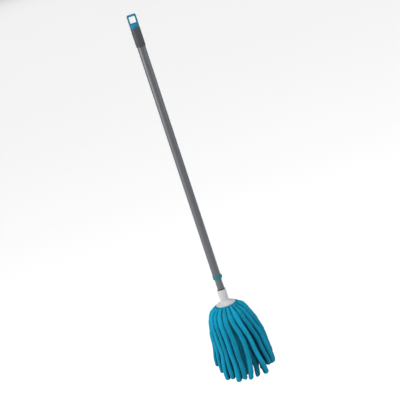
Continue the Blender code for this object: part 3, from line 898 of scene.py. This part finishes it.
def loop_frame(width, depth, window, rounding):
    """The loop's flat frame, with rounded edges, standing in the XZ plane."""
    outline = bpy.data.curves.new("loop_outline", "CURVE")
    outline.dimensions = "2D"
    outline.fill_mode = "BOTH"
    outline.extrude = depth / 2 - rounding
    outline.bevel_depth = rounding
    outline.bevel_resolution = 4
    outer = rounded_rectangle(width / 2 - rounding, -0.026, LOOP_TOP - rounding, 0.0032)
    inner = rounded_rectangle(window[0] / 2 + rounding, -window[1] - rounding, rounding, 0.002 + rounding)
    for points in (outer, inner):
        polyline(outline, points, cyclic=True)
    flat = added("loop_outline", outline)
    bpy.context.view_layer.update()
    mesh = evaluated_mesh(flat)
    bpy.data.objects.remove(flat, do_unlink=True)
    mesh.transform(Matrix.Rotation(math.radians(90), 4, "X"))
    builder = bmesh.new()
    builder.from_mesh(mesh)
    bmesh.ops.remove_doubles(builder, verts=builder.verts, dist=0.00001)
    return object_from(builder, "hanging_loop_shell")


class MOP_OT_hanging_loop(bpy.types.Operator):
    """Mould the hanging loop with its round plug"""

    bl_idname = "mop.hanging_loop"
    bl_label = "Hanging Loop"

    def execute(self, context):
        settings = context.scene.mop_handle
        window = (0.016, 0.0186)
        loop = loop_frame(settings.loop_width, settings.loop_depth, window, 0.0013)
        radius, spigot = 0.0124, 0.0101
        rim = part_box("end_grip")[1].z + 0.3 * MM
        shoulder = -window[1] - 0.5 * MM
        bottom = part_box("hanging_loop")[0].z
        profile = [
            (0.0, shoulder), (0.0085, shoulder), (0.0112, shoulder - 1.6 * MM), (radius, shoulder - 4.8 * MM),
            (radius, rim), (spigot, rim), (spigot, bottom + 2 * MM), (0.0081, bottom), (0.0, bottom),
        ]
        combine(loop, turned("loop_plug", softened(profile, settings.edge)), "UNION")
        finish_piece(loop, "handle", "loop_teal", "hanging_loop")
        return {"FINISHED"}


def sleeve(name, node, outer, bore, edge, middle=()):
    """A turned sleeve as tall as its node in the frame, with softened rims."""
    low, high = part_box(node)
    start = (bore, (low.z + high.z) / 2)
    profile = [start, (bore, high.z), (outer, high.z), *middle, (outer, low.z), (bore, low.z), start]
    return turned(name, softened(profile, edge)[:-1], closed=True)


class MOP_OT_handle(bpy.types.Operator):
    """Turn the grip sleeve and the outer tube"""

    bl_idname = "mop.handle"
    bl_label = "Grip and Outer Tube"

    def execute(self, context):
        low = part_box("end_grip")[0]
        lip = 1.2 * MM
        groove = [
            (GRIP_RADIUS, low.z + 4.6 * MM), (0.0122, low.z + 4.2 * MM), (0.0122, low.z + 3.6 * MM),
            (GRIP_RADIUS, low.z + 3.2 * MM),
        ]
        grip = sleeve("end_grip_sleeve", "end_grip", GRIP_RADIUS, GRIP_BORE, lip, middle=groove)
        finish_piece(grip, "handle", "grip_grey", "end_grip")
        tube = sleeve("outer_tube_wall", "outer_tube", *OUTER_TUBE, TUBE_EDGE)
        finish_piece(tube, "handle", "tube_paint", "outer_tube")
        repaint("collet_ring", "dark_plastic")
        return {"FINISHED"}


class MOP_OT_twist_lock(bpy.types.Operator):
    """Mould the twist collar with its flutes and thumb lug"""

    bl_idname = "mop.twist_lock"
    bl_label = "Twist Lock"

    def execute(self, context):
        low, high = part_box("lock_collar")
        top = high.z
        middle = (top + low.z) / 2
        wall, outer, bore, lip = 0.0113, 0.0121, 0.0098, 1.7 * MM
        profile = [
            (wall, middle), (wall, top), (outer, top), (outer, top - 2.2 * MM), (outer, top - 3 * MM),
            (outer, low.z + 3 * MM), (outer, low.z + 2.2 * MM), (outer, low.z), (bore, low.z),
            (bore, low.z + lip), (wall, low.z + lip), (wall, middle),
        ]

        def flute(radius, height, turn):
            inside = low.z + 2.4 * MM < height < top - 2.4 * MM and radius > 0.0119
            return -0.00028 * (0.5 - 0.5 * math.cos(turn * 36)) if inside else 0.0

        ring = softened(profile, 0.0005)[:-1]
        collar = turned("lock_collar_ring", ring, closed=True, sides=216, flute=flute)
        depth, width, tall = 0.0022, 0.005, 0.006
        centre = (0.0115 + depth / 2, 0, middle)
        combine(collar, rounded_block("thumb_lug", (depth, width, tall), centre, 0.0009), "UNION")
        finish_piece(collar, "twist_lock", "lock_teal", "lock_collar")
        return {"FINISHED"}


class MOP_OT_inner_pole(bpy.types.Operator):
    """Turn the inner tube and the plugs in its two ends"""

    bl_idname = "mop.inner_pole"
    bl_label = "Inner Pole"

    def execute(self, context):
        tube = sleeve("inner_tube_wall", "inner_tube", *INNER_TUBE, TUBE_EDGE)
        finish_piece(tube, "inner_pole", "tube_paint", "inner_tube")
        low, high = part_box("end_plug")
        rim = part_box("inner_tube")[0].z - 0.3 * MM
        seat = HEAD_TOP + 0.3 * MM
        spigot, shoulder, nose = 0.0086, 0.0101, 0.0089
        profile = [
            (0.0, high.z), (0.0076, high.z), (spigot, high.z - 1 * MM), (spigot, rim), (shoulder, rim),
            (shoulder, seat), (nose, seat), (nose, low.z + 3 * MM), (0.0074, low.z), (0.0, low.z),
        ]
        plug = turned("end_plug_moulding", softened(profile, 0.0004))
        finish_piece(plug, "inner_pole", "dark_plastic", "end_plug")
        repaint("guide_plug", "dark_plastic")
        return {"FINISHED"}


# ---------------------------------------------------------------- head


def socket_rib(angle):
    """A rib from the socket's collar down over its waist onto the flange."""
    builder = block((0.005, 0.003, 0.019), (0, 0.0012 - SOCKET_RADIUS, 0.0152))
    front = [vert for vert in builder.verts if vert.co.y < -SOCKET_RADIUS]
    foot = [vert for vert in front if vert.co.z < 0.01]
    bmesh.ops.translate(builder, vec=(0, -0.0012, 0), verts=foot)
    uprights = [edge for edge in builder.edges if all(vert in front for vert in edge.verts)]
    bevel(builder, uprights, 0.0008)
    bmesh.ops.translate(builder, vec=(0, 0, HEAD_BASE), verts=builder.verts)
    turn = Matrix.Rotation(math.radians(angle), 3, "Z")
    bmesh.ops.rotate(builder, cent=(0, 0, 0), matrix=turn, verts=builder.verts)
    return object_from(builder, "socket_rib")


class MOP_OT_head_socket(bpy.types.Operator):
    """Mould the white socket with its ribs, sloping flange and windows"""

    bl_idname = "mop.head_socket"
    bl_label = "Head Socket"

    def execute(self, context):
        settings = context.scene.mop_head
        flange = settings.flange_radius
        tall = HEAD_TOP - HEAD_BASE
        hub = HEAD_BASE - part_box("head_socket")[0].z
        floor, bore, waist = 0.008, 0.0092, 0.0118
        profile = [
            (0.0, floor), (bore, floor), (bore, tall), (SOCKET_RADIUS, tall), (SOCKET_RADIUS, 0.0235),
            (waist, 0.0224), (waist, 0.012), (0.0122, 0.0099), (0.0145, 0.0083), (0.0245, 0.0042),
            (flange, 0.0028), (flange, 0.0), (HUB_RADIUS, 0.0), (HUB_RADIUS, -hub), (0.0, -hub),
        ]
        placed = [(radius, HEAD_BASE + height) for radius, height in profile]
        socket = turned("head_socket_moulding", softened(placed, 0.0007), sides=128)
        for index in range(settings.rib_count):
            combine(socket, socket_rib(-36 + index * 360 / settings.rib_count), "UNION")
        for index in range(3):
            place = (0, -0.0236, HEAD_BASE + 0.003)
            window = rounded_block("flange_window", (0.0044, 0.0018, 0.008), place, 0.0004)
            window.data.transform(Matrix.Rotation(math.radians(-20 + index * 120), 4, "Z"))
            combine(socket, window, "DIFFERENCE")
        finish_piece(socket, "mop_head", "socket_white", "head_socket")
        low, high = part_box("clamp_plate")
        profile = [
            (0.0, high.z), (0.0134, high.z), (0.0114, low.z), (0.0098, low.z),
            (0.0092, low.z + 0.6 * MM), (0.0085, low.z + 0.6 * MM), (0.008, low.z), (0.0, low.z),
        ]
        plate = turned("clamp_plate_moulding", softened(profile, 0.0004))
        finish_piece(plate, "mop_head", "socket_white", "clamp_plate")
        return {"FINISHED"}


def gathered_ring(name, section, folds, depth):
    """A closed section of radii and heights swept round the axis, its outer part gathered between strands."""
    sides = max(folds * 12, 180)
    builder = bmesh.new()
    run_layer = builder.verts.layers.float.new("run")
    turn_layer = builder.verts.layers.float.new("turn")
    inner = min(radius for radius, _ in section)
    outer = max(radius for radius, _ in section)
    rings = []
    for step in range(sides):
        share = step / sides
        lift = 0.5 + 0.5 * math.cos(2 * math.pi * folds * share)
        turn = 2 * math.pi * share
        uneven = noise.noise(Vector((math.cos(turn) * 3, math.sin(turn) * 3, folds)))
        ring = []
        for index, (radius, height) in enumerate(section):
            reach = smooth_step((radius - inner) / (outer - inner) * 1.4 - 0.4)
            fold = depth * reach * (1 - lift + 0.35 * uneven)
            vert = builder.verts.new(around(radius - 0.5 * fold, 360 * share, height - fold))
            vert[run_layer] = radius - height
            vert[turn_layer] = share
            ring.append(vert)
        rings.append(ring)
    for ring, following in zip(rings, rings[1:] + rings[:1]):
        for index in range(len(section)):
            after = (index + 1) % len(section)
            builder.faces.new((ring[index], following[index], following[after], ring[after]))
    return object_from(builder, name)


def stitch_tree(material):
    """Short raised stitches round a circle."""
    inputs = {"Radius": "Float", "Height": "Float", "Count": "Int", "Size": "Float"}
    graph, given = node_tree("Stitch Row", inputs)
    values = {"Resolution": given["Count"], "Radius": given["Radius"]}
    circle = graph.node("GeometryNodeCurvePrimitiveCircle", {"mode": "RADIUS"}, values)
    lift = graph.node("ShaderNodeCombineXYZ", {}, {"Z": given["Height"]})
    circle = graph.node("GeometryNodeTransform", {}, {"Geometry": circle, "Translation": lift})
    values = {"Segments": 8, "Rings": 6, "Radius": given["Size"]}
    bead = graph.node("GeometryNodeMeshUVSphere", {}, values)
    bead = graph.node("GeometryNodeTransform", {}, {"Geometry": bead, "Scale": (2.6, 1.0, 0.7)})
    tangent = graph.node("GeometryNodeInputTangent")
    turn = graph.node("FunctionNodeAlignRotationToVector", {"axis": "X"}, {"Vector": tangent})
    values = {"Points": circle, "Instance": bead, "Rotation": turn}
    row = graph.node("GeometryNodeInstanceOnPoints", {}, values)
    return end_tree(graph, row, material)


class MOP_OT_bands(bpy.types.Operator):
    """Sew the three bands that the strands hang from"""

    bl_idname = "mop.bands"
    bl_label = "Bands"

    def execute(self, context):
        settings = context.scene.mop_head
        low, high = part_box("outer_band")
        stitch_height = high.z + 0.1 * MM
        rim = settings.flange_radius
        header = [
            (BAND_BORE, high.z), (rim - 0.001, high.z), (rim + 0.0007, high.z + 0.1 * MM),
            (rim + 0.0018, high.z + 0.5 * MM), (0.0298, high.z + 0.3 * MM), (0.0312, high.z - 0.2 * MM),
            (0.0326, high.z - 0.9 * MM), (0.0338, high.z - 2.0 * MM), (0.0330, high.z - 2.3 * MM),
            (0.0318, high.z - 1.5 * MM), (0.0304, high.z - 1.0 * MM), (0.0286, high.z - 0.7 * MM),
            (0.0270, high.z - 2.0 * MM),
            (0.0268, low.z + 0.8 * MM), (0.0262, low.z), (BAND_BORE, low.z),
        ]
        band = gathered_ring("outer_band_header", softened(header, 0.0008, 2), 21, settings.gather_depth)
        finish_piece(band, "mop_head", "band_fabric", "outer_band", crease=50)
        for node, folds in (("inner_band", 15), ("core_band", 12)):
            low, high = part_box(node)
            radius = high.x
            ring = [
                (BAND_BORE, high.z), (radius - 0.0015, high.z), (radius - 0.0003, high.z - 1.2 * MM),
                (radius, (low.z + high.z) / 2), (radius - 0.0003, low.z + 1.2 * MM),
                (radius - 0.0015, low.z), (BAND_BORE, low.z),
            ]
            band = gathered_ring(f"{node}_tape", softened(ring, 0.0008, 2), folds, 0.0004)
            finish_piece(band, "mop_head", "band_fabric", node, crease=50)
        tree = stitch_tree(finish_for("band_fabric"))
        values = {"Radius": 0.0296, "Height": stitch_height, "Count": settings.stitch_count, "Size": 0.00042}
        stitches = grown("outer_band_stitches", bare_mesh("stitch_row"), tree, values)
        finish_piece(stitches, "mop_head", "band_fabric", crease=None)
        return {"FINISHED"}


def screw_tree(material):
    """Copies of one screw round the axis."""
    inputs = {"Screw": "Object", "Radius": "Float", "Count": "Int"}
    graph, given = node_tree("Screw Circle", inputs)
    screw = graph.node("GeometryNodeObjectInfo", {}, {"Object": given["Screw"]}, "Geometry")
    values = {"Resolution": given["Count"], "Radius": given["Radius"]}
    circle = graph.node("GeometryNodeCurvePrimitiveCircle", {"mode": "RADIUS"}, values)
    values = {"Geometry": circle, "Rotation": (0, 0, math.radians(45))}
    circle = graph.node("GeometryNodeTransform", {}, values)
    row = graph.node("GeometryNodeInstanceOnPoints", {}, {"Points": circle, "Instance": screw})
    return end_tree(graph, row, material)


class MOP_OT_plate_screws(bpy.types.Operator):
    """Turn one pan-head screw with a cross recess, and set four under the plate"""

    bl_idname = "mop.plate_screws"
    bl_label = "Plate Screws"

    def execute(self, context):
        low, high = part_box("plate_screw_1")
        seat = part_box("clamp_plate")[0].z - 0.3 * MM
        profile = [(0.0, high.z), (0.0005, high.z), (0.0015, high.z - 2.2 * MM)]
        turns = 8
        for step in range(turns):
            height = high.z - 2.4 * MM - step * 1.4 * MM
            profile += [(0.0012, height), (0.0015, height - 0.7 * MM)]
        profile += [
            (0.0014, seat), (0.0029, seat), (0.0029, seat - 1.1 * MM), (0.0022, low.z + 0.2 * MM),
            (0.0, low.z),
        ]
        screw = turned("plate_screw", softened(profile, 0.0002, 2), sides=40)
        for angle in (0, 90):
            arm = rounded_block("recess", (0.0032, 0.0007, 0.0024), (0, 0, low.z), 0.0001)
            arm.data.transform(Matrix.Rotation(math.radians(angle), 4, "Z"))
            combine(screw, arm, "DIFFERENCE")
        tree = screw_tree(finish_for("screw_steel"))
        values = {"Screw": screw, "Radius": 0.0058, "Count": 4}
        screws = grown("plate_screws", bare_mesh("screw_circle"), tree, values)
        bpy.data.objects.remove(screw, do_unlink=True)
        nodes = [f"plate_screw_{index}" for index in range(1, 5)]
        finish_piece(screws, "mop_head", "screw_steel", *nodes)
        return {"FINISHED"}


# ---------------------------------------------------------------- stage


def area_light(name, place, target, size, power, colour):
    data = bpy.data.lights.new(name, "AREA")
    data.shape = "RECTANGLE"
    data.size, data.size_y = size
    data.energy = power
    data.color = colour
    light = added(name, data)
    light.location = place
    light.rotation_euler = (Vector(target) - Vector(place)).to_track_quat("-Z", "Y").to_euler()
    return data


def make_camera(settings):
    """A camera that looks down at the front and leans, so that the handle leans to the left in its view."""
    tilt, roll = settings.elevation, settings.roll
    forward = Vector((0, math.cos(tilt), -math.sin(tilt)))
    level = Vector((1, 0, 0))
    upright = Vector((0, math.sin(tilt), math.cos(tilt)))
    right = math.cos(roll) * level - math.sin(roll) * upright
    up = math.sin(roll) * level + math.cos(roll) * upright
    distance = settings.view_width * settings.lens / FILM
    aim = Vector((0, 0, settings.aim_height)) + right * settings.aim_right
    data = bpy.data.cameras.new("camera")
    data.lens = settings.lens
    data.sensor_width = FILM
    data.clip_end = 100
    camera = added("camera", data)
    turn = Matrix((right, up, -forward)).transposed()
    camera.matrix_world = Matrix.Translation(aim - forward * distance) @ turn.to_4x4()
    bpy.context.scene.camera = camera


class MOP_OT_stage(bpy.types.Operator):
    """Set the camera, the pale floor and the soft lights"""

    bl_idname = "mop.stage"
    bl_label = "Studio"

    def execute(self, context):
        settings = context.scene.mop_stage
        make_camera(settings)
        builder = bmesh.new()
        bmesh.ops.create_grid(builder, x_segments=1, y_segments=1, size=40)
        height = LOWEST - settings.floor_drop
        bmesh.ops.translate(builder, vec=(0, 0, height), verts=builder.verts)
        floor = object_from(builder, "studio_floor")
        paint = Finish("pale_floor_paint", 0.9, Specular_IOR_Level=0.1)
        mottle = paint.noise(paint.place, 3.0, 3.0)
        pale = tuple(settings.floor_colour)
        paint.put("Base Color", paint.blend(mottle, shade_of(pale, 0.99), pale))
        floor.data.materials.append(paint.material)
        middle = (0, 0, settings.aim_height)
        white = (1.0, 1.0, 1.0)
        lights = (
            ("key_light", (-2.6, -1.1, 0.4), (0.75, 3.0), settings.key_power, (1.0, 0.99, 0.97)),
            ("front_light", (0.3, -2.1, 2.3), (1.4, 1.4), settings.front_power, white),
            ("fill_light", (2.8, -0.9, 0.2), (1.2, 2.4), settings.fill_power, (0.96, 0.98, 1.0)),
        )
        for name, place, size, watts, colour in lights:
            area_light(name, place, middle, size, watts, colour)
        behind = (0, 6.3, height)
        wash = area_light("floor_wash", (0, 6.3, height + 2.0), behind, (5, 11.4), settings.wash_power, white)
        wash.spread = math.radians(60)
        world = bpy.data.worlds.new("studio_sky")
        world.use_nodes = True
        sky = world.node_tree.nodes["Background"]
        sky.inputs["Color"].default_value = (1, 1, 1, 1)
        sky.inputs["Strength"].default_value = settings.sky_strength
        context.scene.world = world
        context.scene.view_settings.view_transform = "Standard"
        return {"FINISHED"}


# ---------------------------------------------------------------- add-on


OPERATORS = (
    MOP_OT_stage,
    MOP_OT_strands,
    MOP_OT_bands,
    MOP_OT_head_socket,
    MOP_OT_plate_screws,
    MOP_OT_inner_pole,
    MOP_OT_twist_lock,
    MOP_OT_handle,
    MOP_OT_hanging_loop,
)
SETTINGS = {
    "mop_strands": MopStrandSettings,
    "mop_handle": MopHandleSettings,
    "mop_head": MopHeadSettings,
    "mop_stage": MopStageSettings,
}


class MOP_PT_panel(bpy.types.Panel):
    """The mop's settings and the operators that build it"""

    bl_idname = "MOP_PT_panel"
    bl_label = "String Mop"
    bl_space_type = "VIEW_3D"
    bl_region_type = "UI"
    bl_category = "Mop"

    def draw(self, context):
        for operator in OPERATORS:
            self.layout.operator(operator.bl_idname)
        for group in SETTINGS:
            box = self.layout.box()
            settings = getattr(context.scene, group)
            for name in SETTINGS[group].__annotations__:
                box.prop(settings, name)


def register():
    for group in (*SETTINGS.values(), *OPERATORS, MOP_PT_panel):
        bpy.utils.register_class(group)
    for name, group in SETTINGS.items():
        setattr(bpy.types.Scene, name, bpy.props.PointerProperty(type=group))


def unregister():
    for name in SETTINGS:
        delattr(bpy.types.Scene, name)
    for group in (MOP_PT_panel, *reversed(OPERATORS), *SETTINGS.values()):
        bpy.utils.unregister_class(group)


def main():
    register()
    bpy.ops.mop.stage()
    bpy.ops.mop.strands()
    bpy.ops.mop.bands()
    bpy.ops.mop.head_socket()
    bpy.ops.mop.plate_screws()
    bpy.ops.mop.inner_pole()
    bpy.ops.mop.twist_lock()
    bpy.ops.mop.handle()
    bpy.ops.mop.hanging_loop()
    bpy.context.view_layer.update()


if __name__ == "__main__":
    main()
